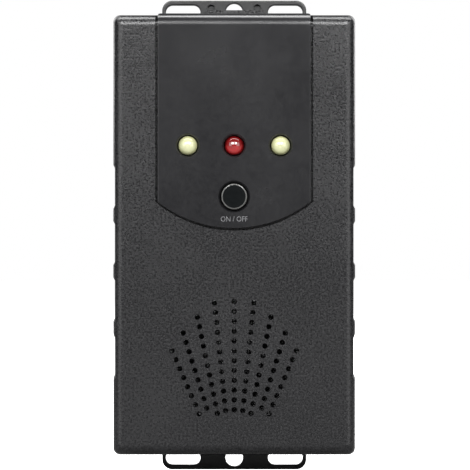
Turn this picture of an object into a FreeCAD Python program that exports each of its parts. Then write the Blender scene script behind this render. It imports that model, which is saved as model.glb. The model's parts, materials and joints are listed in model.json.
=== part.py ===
"""Battery ultrasonic pest repeller for an engine bay or a wall: a two-shell case that plugs onto a
screw-down bracket, with a flashing-light panel, a speaker grille and four AA cells.

Millimetres. X is to the right as seen from the front, Y points back into the wall and Z is up. The origin
is on the wall face of the bracket, midway between its two screw holes.
"""

import FreeCAD, Part
import math
import os
import re

import Sketcher

document = FreeCAD.newDocument("PestRepeller")
sheet = document.addObject("Spreadsheet::Sheet", "Dims")

DIMENSIONS = {
    # mounting bracket
    "bracket_width": 37.5,
    "bracket_reach": 4.85,
    "bracket_thickness": 2.5,
    "bracket_corner": 2.6,
    "bracket_edge": 0.3,
    "screw_hole_radius": 2.25,
    "screw_hole_inset": 3.0,
    "tie_slot_length": 9.0,
    "tie_slot_width": 3.6,
    "tie_slot_spacing": 26.6,
    "dimple_radius": 1.0,
    "dimple_depth": 1.0,
    "dimple_spread": 12.0,
    "dimple_rise": 1.0,
    "peg_radius": 2.5,
    "peg_length": 4.0,
    "peg_spread_x": 48.0,
    "peg_spread_z": 50.0,
    "peg_margin_x": 3.0,
    "peg_margin_z": 6.0,
    "peg_tip_round": 0.5,
    "peg_fit": 0.2,
    "socket_wall": 1.3,
    "socket_play": 0.5,
    "bracket_gap": 0.3,
    # case
    "case_width": 61.8,
    "case_height": 112.3,
    "front_depth": 15.5,
    "back_depth": 12.7,
    "side_draft": 0.8,
    "end_draft": 1.4,
    "case_corner": 1.8,
    "inner_corner": 0.8,
    "front_round": 2.5,
    "back_round": 1.0,
    "wall": 2.0,
    "front_wall": 2.4,
    "boss_root": 0.5,
    "cut_over": 1.0,
    "window_depth": 0.4,
    "window_length": 11.2,
    "window_slope": 0.8,
    "window_pitch": 14.35,
    "window_top": 17.9,
    "window_inset": 3.0,
    "seal_width": 1.0,
    "seal_thickness": 0.8,
    "seal_inset": 0.5,
    "catch_width": 15.0,
    "catch_height": 2.0,
    "catch_depth": 4.0,
    # control panel
    "panel_width": 38.3,
    "panel_gap": 0.6,
    "panel_seat": 1.3,
    "panel_proud": 0.5,
    "panel_edge": 0.25,
    "panel_side_end": 8.25,
    "panel_bottom": 1.7,
    "led_spacing": 11.6,
    "led_height": 22.35,
    "led_radius": 2.5,
    "led_flange_radius": 2.9,
    "led_flange": 1.0,
    "led_length": 8.6,
    "led_proud": 0.8,
    "led_hole_clearance": 0.15,
    "led_lead_pitch": 2.54,
    "led_lead_radius": 0.25,
    "flange_clearance": 0.2,
    "hole_chamfer": 0.35,
    "chamfer_over": 0.05,
    "button_height": 9.6,
    "button_radius": 3.2,
    "button_clearance": 0.45,
    "button_proud": 0.9,
    "button_round": 0.6,
    "button_flange_radius": 4.3,
    "button_flange": 0.5,
    "button_play": 0.15,
    "button_travel": 1.5,
    # speaker and grille
    "grille_apex": -64.9,
    "grille_step": 2.46,
    "grille_pitch": 5.85,
    "grille_hole_radius": 0.685,
    "speaker_height": -30.0,
    "speaker_radius": 19.0,
    "speaker_depth": 5.5,
    "speaker_wall": 1.6,
    "mesh_thickness": 0.4,
    "mesh_margin": 1.0,
    "retainer_thickness": 1.0,
    "retainer_ring": 3.0,
    "retainer_notch": 9.0,
    "retainer_ear_x": 19.5,
    "retainer_ear_z": 12.5,
    "cone_thickness": 0.4,
    "cone_start": 0.4,
    "cone_depth": 3.0,
    "cone_margin": 0.5,
    "piezo_radius": 7.5,
    "piezo_thickness": 0.5,
    # battery bay
    "cell_radius": 7.25,
    "cell_length": 50.5,
    "cell_nub_radius": 2.6,
    "cell_nub": 1.2,
    "cell_gap": 0.7,
    "cell_clearance": 0.3,
    "contact_thickness": 0.5,
    "contact_width": 10.0,
    "spring_length": 3.2,
    "spring_radius": 3.2,
    "spring_wire": 0.35,
    "spring_turns": 3,
    "bay_wall": 1.5,
    "bay_front_wall": 1.3,
    "bay_end_wall": 0.8,
    "door_width": 35.0,
    "door_skin": 1.0,
    "door_tongue": 1.4,
    "door_tongue_thickness": 0.8,
    "door_clearance": 0.25,
    "door_end_gap": 0.6,
    "tongue_play": 0.15,
    "tongue_fit": 0.1,
    "door_lip_depth": 7.4,
    "door_grip_width": 14.0,
    "door_grip_depth": 0.4,
    "door_grip_start": 6.0,
    "door_grip_pitch": 1.6,
    "door_grip_line": 0.8,
    "rail_width": 2.3,
    "rail_proud": 0.6,
    "rail_depth": 3.4,
    # board
    "board_width": 50.0,
    "board_top": 45.0,
    "board_bottom": -8.0,
    "board_thickness": 1.2,
    "board_gap": 0.45,
    "board_screw_inset": 3.0,
    "board_screw_low_inset": 3.5,
    "switch_width": 7.0,
    "switch_body": 3.2,
    "plunger_radius": 1.6,
    "plunger_fit": 0.1,
    "plunger_depth": 0.5,
    "plunger_play": 0.4,
    "coil_x": -15.0,
    "coil_z": 0.0,
    "coil_height": 5.0,
    "coil_post_radius": 1.8,
    "coil_turns_radius": 3.6,
    "coil_flange_radius": 4.0,
    "coil_flange": 0.8,
    "capacitor_x": 6.0,
    "capacitor_z": -2.5,
    "capacitor_radius": 2.5,
    "capacitor_length": 11.0,
    "chip_standoff": 0.15,
    "chip_body": 1.35,
    "chip_leg_pitch": 1.27,
    "chip_leg_width": 0.4,
    "chip_leg_length": 1.0,
    "chip_leg_rise": 0.7,
    "controller_height": 36.0,
    "controller_length": 8.7,
    "controller_width": 3.9,
    "transistor_height": 34.0,
    "transistor_spread": 30.0,
    "transistor_length": 2.9,
    "transistor_width": 1.3,
    "resistor_height": 30.0,
    "resistor_pitch": 4.2,
    "resistor_length": 2.0,
    "resistor_width": 1.2,
    "resistor_body": 0.6,
    "wire_radius": 0.6,
    "wire_bend": 1.2,
    "wire_margin": 1.3,
    "wire_low": 4.0,
    "wire_high": 6.0,
    "speaker_wire_radius": 0.48,
    "speaker_wire_bend": 0.9,
    "speaker_wire_pitch": 5.0,
    # screws
    "case_screw_inset_x": 6.3,
    "case_screw_inset_z": 6.15,
    "case_screw_radius": 1.3,
    "case_screw_fit": 0.2,
    "case_screw_head": 2.5,
    "case_screw_head_fit": 0.3,
    "case_screw_head_depth": 1.7,
    "case_screw_sink": 2.2,
    "case_screw_reach": 3.0,
    "case_boss_radius": 3.2,
    "small_screw_radius": 0.9,
    "small_screw_fit": 0.1,
    "small_screw_head": 1.8,
    "small_screw_head_depth": 1.1,
    "small_screw_reach": 4.0,
    "small_boss_radius": 2.4,
    "cross_length": 1.1,
    "cross_width": 0.28,
    "cross_depth": 0.55,
}

# Depths and edges that several pieces share, worked out from the sheet.
PLACES = {
    "back_face": "-(bracket_thickness + bracket_gap)",
    "split": "back_face - back_depth",
    "front_face": "split - front_depth",
    "panel_face": "front_face - panel_proud",
    "panel_floor": "front_face + panel_seat",
    "front_inside": "front_face + front_wall",
    "half_width": "case_width / 2",
    "half_height": "case_height / 2",
    "bracket_half": "half_height + bracket_reach",
    "hole_height": "bracket_half - screw_hole_inset",
    "case_screw_x": "half_width - case_screw_inset_x",
    "case_screw_z": "half_height - case_screw_inset_z",
    "board_screw_x": "board_width / 2 - board_screw_inset",
    "board_screw_top": "board_top - board_screw_inset",
    "board_screw_bottom": "board_bottom + board_screw_low_inset",
    "door_inside": "back_face - door_skin - door_clearance / 2 - door_tongue_thickness",
    "cell_axis": "door_inside - cell_clearance - cell_radius",
    "bay_inside": "cell_axis - cell_radius - cell_clearance",
    "bay_front": "bay_inside - bay_front_wall",
    "bay_half_width": "cell_radius * 2 + cell_gap / 2 + cell_clearance",
    "bay_half_height": "cell_length + contact_thickness + spring_length / 2",
    "board_back": "bay_front - board_gap",
    "board_front": "board_back - board_thickness",
    "mesh_back": "front_inside + mesh_thickness",
    "speaker_back": "mesh_back + speaker_depth",
    "retainer_back": "speaker_back + retainer_thickness",
    "switch_front": "board_front - switch_body",
    "button_seat": "front_inside + button_play + button_flange",
    "led_base": "panel_face - led_proud + led_length",
    "door_half": "door_width / 2 - door_clearance",
    "tongue_half": "door_half + door_tongue",
    "rail_outer": "door_width / 2 + rail_width",
    "groove_front": "door_inside - tongue_play",
    "door_top": "bay_half_height + door_end_gap",
    "screw_seat": "back_face - case_screw_sink",
    "rail_end": "rail_proud + cut_over",
}

for row, (alias, size) in enumerate(DIMENSIONS.items(), start=1):
    sheet.set(f"A{row}", alias.replace("_", " "))
    sheet.set(f"B{row}", str(size))
    sheet.setAlias(f"B{row}", alias)
document.recompute()


def bound(text):
    """The expression with every shared place written out and every size read from the sheet."""

    def spell(word):
        name = word.group(0)
        if name in PLACES:
            return f"({bound(PLACES[name])})"
        return f"Dims.{name}" if name in DIMENSIONS else name

    return re.sub(r"[a-z_]+", spell, str(text))


def number(text):
    """The expression's value in millimetres or degrees."""
    return float(sheet.evalExpression(bound(text)))


def bind(made, **sizes):
    """Bind an object's properties to expressions; x, y and z are its place."""
    paths = {"x": "Placement.Base.x", "y": "Placement.Base.y", "z": "Placement.Base.z"}
    for name, text in sizes.items():
        made.setExpression(paths.get(name, name), bound(text))
    return made


counts = {}


def fresh(stem):
    """A name for a construction object, numbered within its kind."""
    counts[stem] = counts.get(stem, 0) + 1
    return f"{stem}_{counts[stem]}"


# ---- solids from primitives ---------------------------------------------------------------------------


def block(x, y, z, name=None):
    """A box between two expressions on each axis."""
    made = document.addObject("Part::Box", name or fresh("block"))
    spans = [f"({high}) - ({low})" for low, high in (x, y, z)]
    return bind(made, x=x[0], y=y[0], z=z[0], Length=spans[0], Width=spans[1], Height=spans[2])


def mid_block(width, y, z, name=None):
    """A box centred on X = 0."""
    return block((f"-({width}) / 2", f"({width}) / 2"), y, z, name)


FORWARD = FreeCAD.Rotation(FreeCAD.Vector(1, 0, 0), 90)
ALONG_X = FreeCAD.Rotation(FreeCAD.Vector(0, 1, 0), 90)


def rod(x, z, radius, back, front, name=None):
    """A cylinder that runs forward from one depth to another."""
    made = document.addObject("Part::Cylinder", name or fresh("rod"))
    made.Placement.Rotation = FORWARD
    return bind(made, x=x, y=back, z=z, Radius=radius, Height=f"({back}) - ({front})")


def taper(x, z, back_radius, front_radius, back, front):
    """A cone that runs forward from one depth to another."""
    made = document.addObject("Part::Cone", fresh("taper"))
    made.Placement.Rotation = FORWARD
    length = f"({back}) - ({front})"
    return bind(made, x=x, y=back, z=z, Radius1=back_radius, Radius2=front_radius, Height=length)


def cut(base, tools, name=None):
    made = document.addObject("Part::Cut", name or fresh("cut"))
    made.Base = base
    made.Tool = tools[0] if len(tools) == 1 else fuse(tools)
    return made


def fuse(shapes, name=None):
    made = document.addObject("Part::MultiFuse", name or fresh("fuse"))
    made.Shapes = shapes
    return made


def common(first, second, name=None):
    made = document.addObject("Part::Common", name or fresh("common"))
    made.Base = first
    made.Tool = second
    return made


def group(pieces, name):
    made = document.addObject("Part::Compound", name)
    made.Links = pieces
    return made


# ---- sketches ------------------------------------------------------------------------------------------


def sketch_in(body, depth):
    """A sketch on the body's XZ plane moved to a depth; its X is the model's X and its Y is the model's Z."""
    made = body.newObject("Sketcher::SketchObject", fresh("sketch"))
    plane = [part for part in body.Origin.OriginFeatures if part.Role == "XZ_Plane"][0]
    made.AttachmentSupport = [(plane, "")]
    made.MapMode = "FlatFace"
    made.setExpression("AttachmentOffset.Base.z", bound(f"-({depth})"))
    return made


def fix(sketch, kind, *args):
    """Add a constraint whose last argument is an expression."""
    *place, text = args
    index = sketch.addConstraint(Sketcher.Constraint(kind, *place, number(text)))
    sketch.setExpression(f"Constraints[{index}]", bound(text))


def pin(sketch, curve, point, x, z):
    """Hold a point of a curve at a place measured from the sketch's origin."""
    fix(sketch, "DistanceX", -1, 1, curve, point, x)
    fix(sketch, "DistanceY", -1, 1, curve, point, z)


def vector(x, z):
    return FreeCAD.Vector(number(x), number(z), 0)


def circle(sketch, x, z, radius):
    normal = FreeCAD.Vector(0, 0, 1)
    curve = sketch.addGeometry(Part.Circle(vector(x, z), normal, number(radius)))
    pin(sketch, curve, 3, x, z)
    fix(sketch, "Radius", curve, radius)


def polygon(sketch, corners):
    """A closed outline of straight lines, each corner at its own expressions."""
    ends = corners[1:] + corners[:1]
    lines = [
        sketch.addGeometry(Part.LineSegment(vector(*start), vector(*end)))
        for start, end in zip(corners, ends)
    ]
    for place, line in enumerate(lines):
        pin(sketch, line, 1, *corners[place])
        sketch.addConstraint(
            Sketcher.Constraint("Coincident", line, 2, lines[(place + 1) % len(lines)], 1)
        )


def rounded(sketch, width, height, radius, x="0", z="0"):
    """A rectangle centred at x, z with four tangent corner arcs."""
    left = f"({x}) - ({width}) / 2"
    right = f"({x}) + ({width}) / 2"
    low = f"({z}) - ({height}) / 2"
    high = f"({z}) + ({height}) / 2"
    corners = [
        (right, low, f"({right}) - ({radius})", f"({low}) + ({radius})", 270),
        (right, high, f"({right}) - ({radius})", f"({high}) - ({radius})", 0),
        (left, high, f"({left}) + ({radius})", f"({high}) - ({radius})", 90),
        (left, low, f"({left}) + ({radius})", f"({low}) + ({radius})", 180),
    ]
    normal = FreeCAD.Vector(0, 0, 1)
    size = number(radius)
    arcs = []
    for _, _, centre_x, centre_z, start in corners:
        whole = Part.Circle(vector(centre_x, centre_z), normal, size)
        bend = Part.ArcOfCircle(whole, math.radians(start), math.radians(start + 90))
        arcs.append(sketch.addGeometry(bend))
    for place, arc in enumerate(arcs):
        after = arcs[(place + 1) % 4]
        ends = [sketch.getPoint(arc, 2), sketch.getPoint(after, 1)]
        line = sketch.addGeometry(Part.LineSegment(*ends))
        sketch.addConstraint(Sketcher.Constraint("Tangent", arc, 2, line, 1))
        sketch.addConstraint(Sketcher.Constraint("Tangent", line, 2, after, 1))
        sketch.addConstraint(Sketcher.Constraint("Vertical" if place % 2 == 0 else "Horizontal", line))
    for place, arc in enumerate(arcs):
        if place:
            sketch.addConstraint(Sketcher.Constraint("Equal", arcs[0], arc))
    fix(sketch, "Radius", arcs[0], radius)
    pin(sketch, arcs[0], 3, corners[0][2], corners[0][3])
    pin(sketch, arcs[2], 3, corners[2][2], corners[2][3])


def slot(sketch, x, z, length, width):
    """A slot with round ends, its length along X."""
    normal = FreeCAD.Vector(0, 0, 1)
    reach = f"(({length}) - ({width})) / 2"
    size = number(width) / 2
    arcs = []
    for side, start in (("+", 270), ("-", 90)):
        whole = Part.Circle(vector(f"({x}) {side} ({reach})", z), normal, size)
        bend = Part.ArcOfCircle(whole, math.radians(start), math.radians(start + 180))
        arcs.append(sketch.addGeometry(bend))
    for one, other in ((arcs[0], arcs[1]), (arcs[1], arcs[0])):
        ends = [sketch.getPoint(one, 2), sketch.getPoint(other, 1)]
        line = sketch.addGeometry(Part.LineSegment(*ends))
        sketch.addConstraint(Sketcher.Constraint("Tangent", one, 2, line, 1))
        sketch.addConstraint(Sketcher.Constraint("Tangent", line, 2, other, 1))
        sketch.addConstraint(Sketcher.Constraint("Horizontal", line))
    fix(sketch, "Radius", arcs[0], f"({width}) / 2")
    pin(sketch, arcs[0], 3, f"({x}) + ({reach})", z)
    fix(sketch, "DistanceX", -1, 1, arcs[1], 3, f"({x}) - ({reach})")


def panel_outline(sketch, grow, top):
    """The control panel's outline: straight sides and a bottom edge that is one shallow arc."""
    half = f"(panel_width / 2 + ({grow}))"
    low = f"(panel_bottom - ({grow}))"
    sag = f"(panel_side_end - {low})"
    corners = [(half, "panel_side_end"), (half, top), (f"-{half}", top), (f"-{half}", "panel_side_end")]
    lines = [
        sketch.addGeometry(Part.LineSegment(vector(*start), vector(*end)))
        for start, end in zip(corners, corners[1:])
    ]
    bend = Part.Arc(vector(*corners[3]), vector("0", low), vector(*corners[0]))
    arc = sketch.addGeometry(bend)
    for place, line in enumerate(lines):
        pin(sketch, line, 1, *corners[place])
    pin(sketch, lines[2], 2, *corners[3])
    sketch.addConstraint(Sketcher.Constraint("Coincident", lines[0], 2, lines[1], 1))
    sketch.addConstraint(Sketcher.Constraint("Coincident", lines[1], 2, lines[2], 1))
    sketch.addConstraint(Sketcher.Constraint("Coincident", arc, 1, lines[2], 2))
    sketch.addConstraint(Sketcher.Constraint("Coincident", arc, 2, lines[0], 1))
    fix(sketch, "Radius", arc, f"({half} * {half} + {sag} * {sag}) / (2 * {sag})")


# ---- features ------------------------------------------------------------------------------------------


def pad(body, sketch, length, backward=False):
    made = body.newObject("PartDesign::Pad", fresh("pad"))
    made.Profile = sketch
    made.Reversed = backward
    made.setExpression("Length", bound(length))
    return made


def pocket(body, sketch, length, backward=False):
    """Cut forward from the sketch, or backward; the volume is compared once everything is computed."""
    made = body.newObject("PartDesign::Pocket", fresh("pocket"))
    made.Profile = sketch
    made.Reversed = not backward
    made.setExpression("Length", bound(length))
    return made


def edges_at(shape, depth):
    """Names of the edges that lie wholly at one depth."""
    return [
        f"Edge{place}"
        for place, edge in enumerate(shape.Edges, start=1)
        if abs(edge.BoundBox.YMin - depth) < 1e-4 and abs(edge.BoundBox.YMax - depth) < 1e-4
    ]


def round_edges(body, feature, depth, radius):
    """Round every edge of a feature at a depth."""
    document.recompute()
    made = body.newObject("PartDesign::Fillet", fresh("round"))
    made.Base = (feature, edges_at(feature.Shape, number(depth)))
    made.setExpression("Radius", bound(radius))
    return made


def envelope(grow, front_grow, corner, edge_round):
    """The front shell's drafted outline from the split to the front, grown by a distance all round."""
    body = document.addObject("PartDesign::Body", fresh("envelope"))
    front = f"front_face - ({front_grow})"
    sections = []
    for depth, side_in, end_in in (("split", "0", "0"), (front, "side_draft", "end_draft")):
        half_x = f"(half_width - {side_in} + ({grow}))"
        half_z = f"(half_height - {end_in} + ({grow}))"
        section = sketch_in(body, depth)
        polygon(
            section,
            [(half_x, f"-{half_z}"), (half_x, half_z), (f"-{half_x}", half_z), (f"-{half_x}", f"-{half_z}")],
        )
        sections.append(section)
    skin = body.newObject("PartDesign::AdditiveLoft", fresh("loft"))
    skin.Profile = sections[0]
    skin.Sections = [sections[1]]
    skin.Ruled = True
    document.recompute()
    radii = {}
    for place, edge in enumerate(body.Shape.Edges, start=1):
        if edge.BoundBox.YLength > 1:
            radii[place] = corner
        elif edge_round and abs(edge.BoundBox.YMax - number(front)) < 1e-4:
            radii[place] = edge_round
    made = document.addObject("Part::Fillet", fresh("softened"))
    made.Base = body
    made.Edges = [(place, number(radius), number(radius)) for place, radius in radii.items()]
    return made


def window_outline(sketch, side, top, draft):
    """One grip recess: a flat floor with sloped ends that run out past the side."""
    low = f"({top} - window_length)"
    deep = f"{side} * (half_width - {draft} - window_depth)"
    out = f"{side} * (half_width - {draft} + cut_over)"
    reach = "(window_slope * cut_over / window_depth)"
    corners = [
        (deep, f"{top} - window_slope"),
        (deep, f"{low} + window_slope"),
        (out, f"{low} - {reach}"),
        (out, f"{top} + {reach}"),
    ]
    polygon(sketch, corners)


def side_windows():
    """Four shallow grip recesses down each side, which follow the draft, as one cutting body."""
    body = document.addObject("PartDesign::Body", fresh("windows"))
    for side in (1, -1):
        for place in range(4):
            top = f"(window_top - {place} * window_pitch)"
            middle = sketch_in(body, "split")
            window_outline(middle, side, top, "0")
            front = sketch_in(body, "front_face")
            window_outline(front, side, top, "side_draft")
            run = body.newObject("PartDesign::AdditiveLoft", fresh("loft"))
            run.Profile = middle
            run.Sections = [front]
            run.Ruled = True
            back = sketch_in(body, "back_face - window_inset")
            window_outline(back, side, top, "0")
            pad(body, back, "back_depth - window_inset")
    return body


def screw(x, z, seat, tip, radius, head_radius, head, name=None):
    """A cross-head screw driven forward: pan head behind its seat, shank running forward to its tip."""
    across = f"({head_radius}) * cross_length"
    thin = f"({head_radius}) * cross_width"
    drive = f"({head}) * cross_depth"
    rear = f"({seat}) + ({head})"
    flat = [
        block(
            (f"({x}) - ({one}) / 2", f"({x}) + ({one}) / 2"),
            (f"({rear}) - ({drive})", rear),
            (f"({z}) - ({other}) / 2", f"({z}) + ({other}) / 2"),
        )
        for one, other in ((across, thin), (thin, across))
    ]
    solid = fuse([rod(x, z, head_radius, rear, seat), rod(x, z, radius, seat, tip)])
    return cut(solid, flat, name)


def corner_places(x, high, low):
    return [(f"{side} * {x}", place) for side in (1, -1) for place in (high, low)]


case_screw_places = corner_places("(case_screw_x)", "case_screw_z", "-(case_screw_z)")
board_screw_places = corner_places("(board_screw_x)", "board_screw_top", "board_screw_bottom")
retainer_high = "(speaker_height + retainer_ear_z)"
retainer_low = "(speaker_height - retainer_ear_z)"
retainer_places = corner_places("retainer_ear_x", retainer_high, retainer_low)
peg_places = corner_places("(peg_spread_x / 2)", "peg_spread_z / 2", "-peg_spread_z / 2")
led_places = {
    "led_white_left": "-led_spacing",
    "led_red_centre": "0",
    "led_white_right": "led_spacing",
}


# ---- mounting bracket: one flat plate with tie slots, screw holes and four pegs ------------------------

plate = document.addObject("PartDesign::Body", "bracket_plate")
outline = sketch_in(plate, "0")
rounded(outline, "bracket_width", "2 * bracket_half", "bracket_corner")
pad(plate, outline, "bracket_thickness")
wings = sketch_in(plate, "0")
rounded(wings, "peg_spread_x + 2 * peg_margin_x", "peg_spread_z + 2 * peg_margin_z", "bracket_corner")
pad(plate, wings, "bracket_thickness")
openings = sketch_in(plate, "0")
for end in (1, -1):
    circle(openings, "0", f"{end} * hole_height", "screw_hole_radius")
    for side in (1, -1):
        slot(
            openings,
            f"{side} * tie_slot_spacing / 2",
            f"{end} * hole_height",
            "tie_slot_length",
            "tie_slot_width",
        )
opened = pocket(plate, openings, "bracket_thickness")
front_broken = round_edges(plate, opened, "-bracket_thickness", "bracket_edge")
round_edges(plate, front_broken, "0", "bracket_edge")
dimples = sketch_in(plate, "-bracket_thickness")
for side in (1, -1):
    circle(dimples, f"{side} * dimple_spread / 2", "hole_height + dimple_rise", "dimple_radius")
pocket(plate, dimples, "dimple_depth", backward=True)
pegs = document.addObject("PartDesign::Body", "bracket_pegs")
peg_sketch = sketch_in(pegs, "-bracket_thickness / 2")
for x, z in peg_places:
    circle(peg_sketch, x, z, "peg_radius")
peg_pad = pad(pegs, peg_sketch, "bracket_thickness / 2 + peg_length")
round_edges(pegs, peg_pad, "-bracket_thickness - peg_length", "peg_tip_round")
fuse([plate, pegs], "mounting_bracket")


# ---- front shell: drafted shell with the speaker grille, light seat and screw bosses -------------------

outside = envelope("0", "0", "case_corner", "front_round")
inside = envelope("-wall", "-front_wall", "inner_corner", None)
bosses = [rod(x, z, "case_boss_radius", "split", "front_inside - boss_root") for x, z in case_screw_places]
bosses += [rod(x, z, "small_boss_radius", "board_front", "front_inside - boss_root")
           for x, z in board_screw_places]
bosses += [rod(x, z, "small_boss_radius", "speaker_back", "front_inside - boss_root")
           for x, z in retainer_places]
shell = fuse([cut(outside, [inside])] + [common(fuse(bosses), outside)])

seat_prism = document.addObject("PartDesign::Body", "panel_seat_prism")
seat_sketch = sketch_in(seat_prism, "split + cut_over")
panel_outline(seat_sketch, "panel_gap", "half_height + cut_over")
pad(seat_prism, seat_sketch, "front_depth + 2 * cut_over")
core = envelope("-panel_seat", "-panel_seat", "case_corner - panel_seat", "front_round - panel_seat")
seat = cut(seat_prism, [core])

# Rays of the grille: first hole's distance from the apex, in steps, and how many holes follow.
GRILLE_RAYS = {0: (21.2, 12), 1: (21.1, 12), 2: (20.7, 11), 3: (22.7, 9), 4: (22.0, 8)}
grille = document.addObject("PartDesign::Body", "grille_holes")
grille_sketch = sketch_in(grille, "front_inside + cut_over")
for ray in range(-4, 5):
    start, holes = GRILLE_RAYS[abs(ray)]
    for place in range(holes):
        reach = f"({start} + {place} * grille_step)"
        circle(
            grille_sketch,
            f"{reach} * sin({ray} * grille_pitch)",
            f"grille_apex + {reach} * cos({ray} * grille_pitch)",
            "grille_hole_radius",
        )
pad(grille, grille_sketch, "front_wall + 2 * cut_over")

led_hole = "led_radius + led_hole_clearance"
button_hole = "button_radius + button_clearance"
holes = [rod(x, "led_height", "led_flange_radius + flange_clearance", "front_inside + cut_over",
             "front_face")
         for x in led_places.values()]
holes += [rod("0", "button_height", button_hole, "front_inside + cut_over", "front_face")]
holes += [rod(x, z, "case_screw_radius", "split + cut_over", "front_inside + cut_over")
          for x, z in case_screw_places]
holes += [rod(x, z, "small_screw_radius", "board_front + cut_over", "front_inside + boss_root")
          for x, z in board_screw_places + retainer_places]
cut(shell, [seat, grille, side_windows()] + holes, "front_shell")


# ---- control panel: smooth cover over the lights that folds over the top edge --------------------------

proud = envelope("panel_proud", "panel_proud", "case_corner + panel_proud", "front_round + panel_proud")
panel_prism = document.addObject("PartDesign::Body", "panel_prism")
panel_sketch = sketch_in(panel_prism, "split")
panel_outline(panel_sketch, "0", "half_height + panel_proud + cut_over")
pad(panel_prism, panel_sketch, "front_depth + panel_proud + cut_over")
panel_core = envelope("-panel_seat", "-panel_seat", "case_corner - panel_seat", "front_round - panel_seat")
panel_square = common(cut(proud, [panel_core]), panel_prism)


def skin_edges(shape, skin, walls, deepest):
    """Edges where an outer skin meets upright walls, forward of a depth, each with its number."""
    found = []
    for place, edge in enumerate(shape.Edges, start=1):
        middle = Part.Vertex(edge.valueAt((edge.FirstParameter + edge.LastParameter) / 2))
        on_both = all(surface.distToShape(middle)[0] < 1e-4 for surface in (skin, walls))
        if on_both and edge.BoundBox.YMin < deepest - 1e-3:
            found.append(place)
    return found


document.recompute()
panel_rim = skin_edges(
    panel_square.Shape, proud.Shape.Shells[0], panel_prism.Shape.Shells[0], number("split")
)
panel_blank = document.addObject("Part::Fillet", "panel_blank")
panel_blank.Base = panel_square
panel_blank.Edges = [(place, number("panel_edge"), number("panel_edge")) for place in panel_rim]
panel_holes = []
panel_bores = [(x, "led_height", led_hole) for x in led_places.values()]
panel_bores.append(("0", "button_height", button_hole))
for x, z, radius in panel_bores:
    panel_holes.append(rod(x, z, radius, "panel_floor + cut_over", "panel_face - cut_over"))
    panel_holes.append(taper(
        x,
        z,
        f"{radius} - chamfer_over",
        f"{radius} + hole_chamfer + chamfer_over",
        "panel_face + hole_chamfer + chamfer_over",
        "panel_face - chamfer_over",
    ))
cut(panel_blank, panel_holes, "control_panel")


# ---- shell seal: a thin gasket frame in a groove round the back shell's rim -----------------------------

seal = document.addObject("PartDesign::Body", "shell_seal")
seal_sketch = sketch_in(seal, "split + seal_thickness")
for inset, corner in (("seal_inset", "case_corner - seal_inset"), ("(seal_inset + seal_width)", "inner_corner")):
    rounded(seal_sketch, f"case_width - 2 * {inset}", f"case_height - 2 * {inset}", corner)
pad(seal, seal_sketch, "seal_thickness")


# ---- back shell: tray with the battery bay, door rails, peg sockets and screw bosses -------------------

tray = document.addObject("PartDesign::Body", "tray")
tray_sketch = sketch_in(tray, "back_face")
rounded(tray_sketch, "case_width", "case_height", "case_corner")
tray_pad = pad(tray, tray_sketch, "back_depth")
round_edges(tray, tray_pad, "back_face", "back_round")
hollow = sketch_in(tray, "back_face - wall")
rounded(hollow, "case_width - 2 * wall", "case_height - 2 * wall", "inner_corner")
pocket(tray, hollow, "back_depth")
bay_outer = "2 * (bay_half_width + bay_wall)"
rails = [
    block(
        (f"{low}", f"{high}"),
        ("back_face - wall - rail_depth + door_skin", "back_face - back_round"),
        ("-half_height - rail_proud", "half_height - wall / 2"),
    )
    for low, high in (("bay_half_width", "rail_outer"), ("-(rail_outer)", "-(bay_half_width)"))
]
additions = [
    mid_block(
        bay_outer,
        ("split", "back_face - wall / 2"),
        ("wall / 2 - half_height", "half_height - wall / 2"),
    ),
    mid_block(
        bay_outer,
        ("bay_front", "split"),
        ("-bay_half_height - bay_end_wall", "bay_half_height + bay_end_wall"),
    ),
    mid_block(
        "catch_width",
        ("back_face - catch_depth", "back_face"),
        ("half_height - wall", "half_height + catch_height"),
    ),
]
additions += rails
additions += [rod(x, z, "case_boss_radius", "back_face - wall / 2", "split") for x, z in case_screw_places]
peg_socket = "peg_radius + peg_fit"
socket_floor = "-bracket_thickness - peg_length - socket_play"
additions += [
    rod(x, z, f"{peg_socket} + socket_wall", "back_face - wall / 2", f"{socket_floor} - socket_wall")
    for x, z in peg_places
]
removals = [
    mid_block(
        "2 * bay_half_width",
        ("bay_inside", "back_face + cut_over"),
        ("-bay_half_height", "bay_half_height"),
    ),
    mid_block(
        "door_width",
        ("groove_front", "back_face + cut_over"),
        ("-half_height - rail_end", "door_top"),
    ),
    mid_block(
        "2 * (tongue_half + door_clearance)",
        ("groove_front", "back_face - door_skin + tongue_fit"),
        ("-half_height - rail_end", "door_top"),
    ),
    mid_block(
        "door_width",
        ("back_face - door_lip_depth - door_clearance", "back_face + cut_over"),
        ("-half_height - rail_end", "wall - half_height"),
    ),
]
removals += [rod(x, z, peg_socket, "back_face + cut_over", socket_floor)
             for x, z in peg_places]
removals += [rod(x, z, "case_screw_radius + case_screw_fit", "back_face + cut_over", "split - cut_over")
             for x, z in case_screw_places]
removals += [rod(x, z, "case_screw_head + case_screw_head_fit", "back_face + cut_over", "screw_seat")
             for x, z in case_screw_places]
cut(fuse([tray] + additions), removals + [side_windows(), seal], "back_shell")

# ---- battery door: a sliding cover with side tongues and an end lip ------------------------------------

door_low = "-half_height"
door_high = "(door_top - door_clearance)"
door_solids = [
    mid_block("2 * door_half", ("door_inside", "back_face"), (door_low, door_high)),
    mid_block(
        "2 * tongue_half",
        ("door_inside", "door_inside + door_tongue_thickness"),
        ("wall - half_height + door_clearance", door_high),
    ),
    mid_block(
        "2 * door_half",
        ("back_face - door_lip_depth", "back_face"),
        (door_low, "wall - half_height - door_clearance"),
    ),
]
grip_lines = [
    mid_block(
        "door_grip_width",
        ("back_face - door_grip_depth", "back_face + cut_over"),
        (
            f"-half_height + door_grip_start + {place} * door_grip_pitch",
            f"-half_height + door_grip_start + {place} * door_grip_pitch + door_grip_line",
        ),
    )
    for place in range(5)
]
cut(fuse(door_solids), grip_lines, "battery_door")


# ---- cells and contacts ---------------------------------------------------------------------------------

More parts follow.
